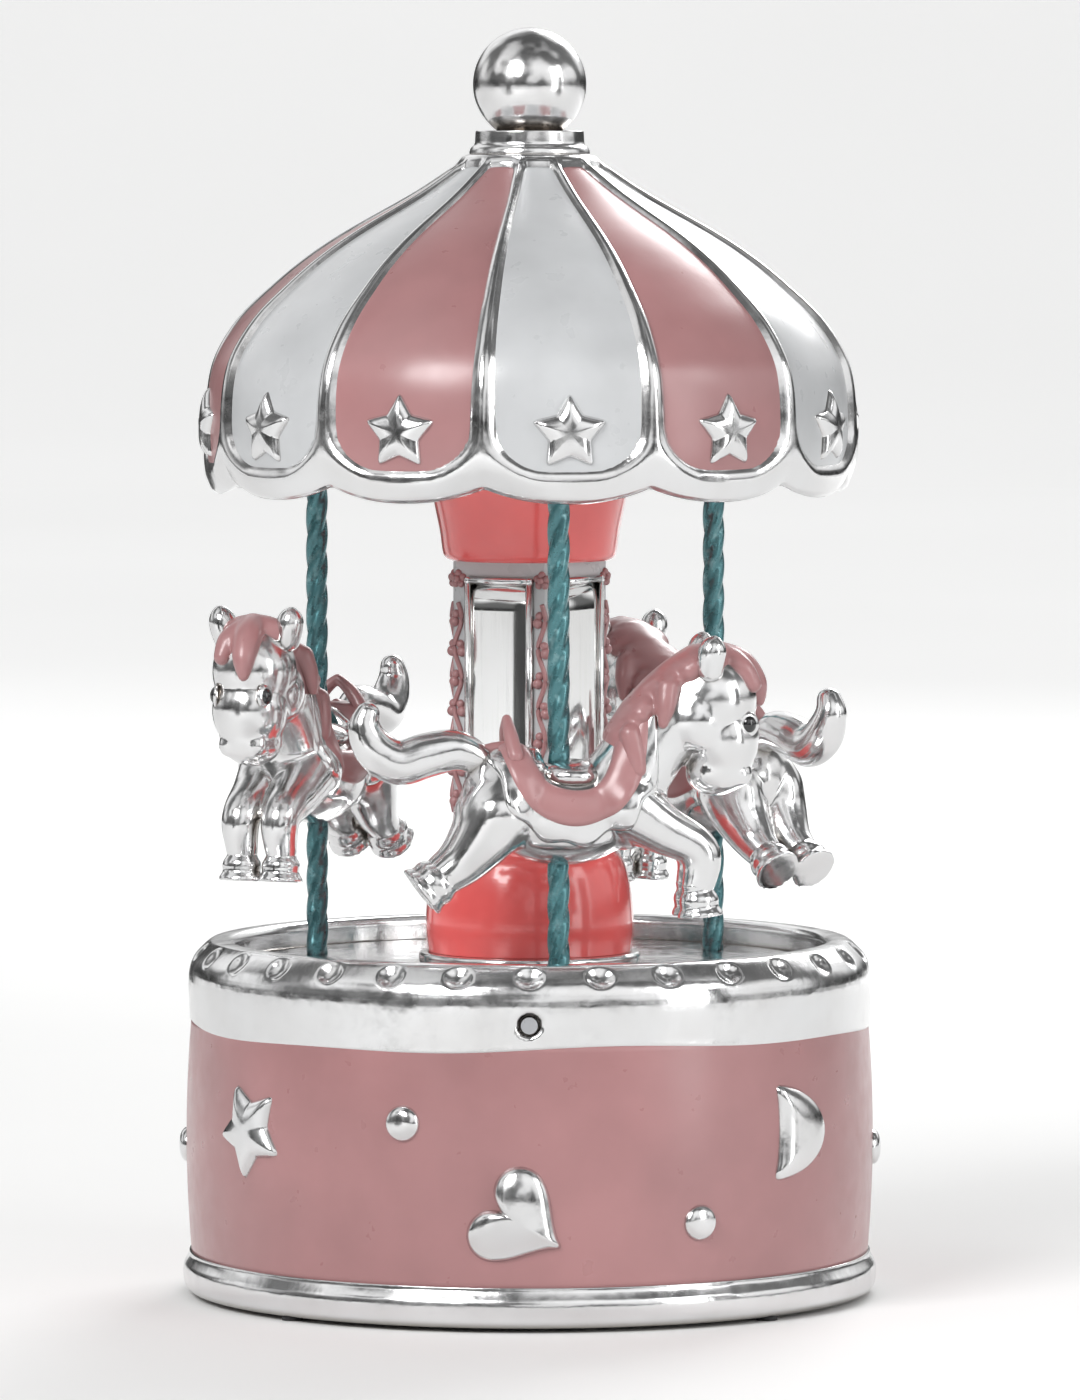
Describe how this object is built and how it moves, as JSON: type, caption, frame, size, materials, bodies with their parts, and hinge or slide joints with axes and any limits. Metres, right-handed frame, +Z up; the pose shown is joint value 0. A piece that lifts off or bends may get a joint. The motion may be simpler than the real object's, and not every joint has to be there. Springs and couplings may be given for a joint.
{
  "type": "carousel music box",
  "caption": "Wind-up carousel music box: leaping ponies on twisted poles turn round a mirrored column under a domed canopy, above an enamelled drum.",
  "frame": {"origin": "centre of the drum on the surface that the feet rest on", "axes": "+Z up along the spindle; the front, where the middle pony passes, is -Y; +X to the right of it"},
  "size_m": [0.0952, 0.0952, 0.1702],
  "materials": {
    "silver_plate": "bright silver plate on zinc casting",
    "pink_enamel": "dusty pink epoxy enamel",
    "satin_enamel": "pearl grey epoxy enamel",
    "column_enamel": "glossy rose enamel",
    "polished_mirror": "polished mirror plate",
    "teal_lacquer": "metallic teal lacquer",
    "rubber": "black rubber",
    "steel": "plain steel",
    "zinc_plate": "zinc plated sheet",
    "brass": "turned brass",
    "cast_zinc": "plain zinc casting",
    "nylon": "white nylon"
  },
  "bodies": {
    "base": {"base_casing": "silver_plate", "drum_enamel": "pink_enamel", "deck_plate": "zinc_plate", "deck_screws": "steel", "shaft_bush": "brass", "feet": "rubber", "bottom_cover": "zinc_plate", "cover_screws": "steel", "movement_screws": "steel", "bedplate": "cast_zinc", "tone_comb": "steel", "comb_screws": "steel", "governor_frame": "zinc_plate", "governor_screw": "steel", "clutch_spring": "steel", "band_stars": "silver_plate", "band_hearts": "silver_plate", "band_moons": "silver_plate", "band_dots": "silver_plate"},
    "carousel": {"spring_barrel": "brass", "barrel_cap": "steel", "mainspring": "steel", "drive_spindle": "steel", "thrust_washer": "nylon", "platform": "silver_plate", "platform_nut": "steel", "pole_nuts": "steel", "column_foot_ring": "silver_plate", "column_lower_drum": "column_enamel", "column_core": "satin_enamel", "mirror_panels": "polished_mirror", "column_capital": "column_enamel", "ceiling_plate": "silver_plate", "canopy_stars": "silver_plate", "finial_collar": "silver_plate", "finial_ball": "silver_plate", "canopy_shell": "silver_plate", "canopy_satin_enamel": "satin_enamel", "canopy_pink_enamel": "pink_enamel", "pole_1": "teal_lacquer", "pole_2": "teal_lacquer", "pole_3": "teal_lacquer", "pony_1": "silver_plate", "pony_2": "silver_plate", "pony_3": "silver_plate"},
    "winder": {"winding_key": "steel", "winding_arbor": "steel"},
    "tune_cylinder": {"pin_cylinder": "brass", "cylinder_pins": "steel", "cylinder_arbor": "steel", "cylinder_pinion": "brass", "cylinder_wheel": "brass"},
    "governor": {"governor_arbor": "steel", "governor_pinion": "steel", "worm_wheel": "nylon"},
    "fly": {"worm_shaft": "steel", "fly_fan": "nylon"}
  },
  "joints": [
    {"name": "carousel_turn", "type": "hinge", "parent": "base", "child": "carousel", "pos_m": [0, 0, 0.04], "axis": [0, 0, 1], "continuous": true},
    {"name": "key_turn", "type": "hinge", "parent": "base", "child": "winder", "pos_m": [0, 0, 0.005], "axis": [0, 0, 1], "continuous": true},
    {"name": "cylinder_turn", "type": "hinge", "parent": "base", "child": "tune_cylinder", "pos_m": [0.02, 0, 0.029], "axis": [1, 0, 0], "continuous": true},
    {"name": "governor_turn", "type": "hinge", "parent": "base", "child": "governor", "pos_m": [0.0365, 0.009, 0.029], "axis": [1, 0, 0], "continuous": true},
    {"name": "fly_turn", "type": "hinge", "parent": "base", "child": "fly", "pos_m": [0.0365, 0.003, 0.03], "axis": [0, 0, 1], "continuous": true}
  ],
  "couplings": [
    {"joint": "cylinder_turn", "follows": "carousel_turn", "ratio": 3},
    {"joint": "governor_turn", "follows": "carousel_turn", "ratio": -12},
    {"joint": "fly_turn", "follows": "carousel_turn", "ratio": -288}
  ]
}
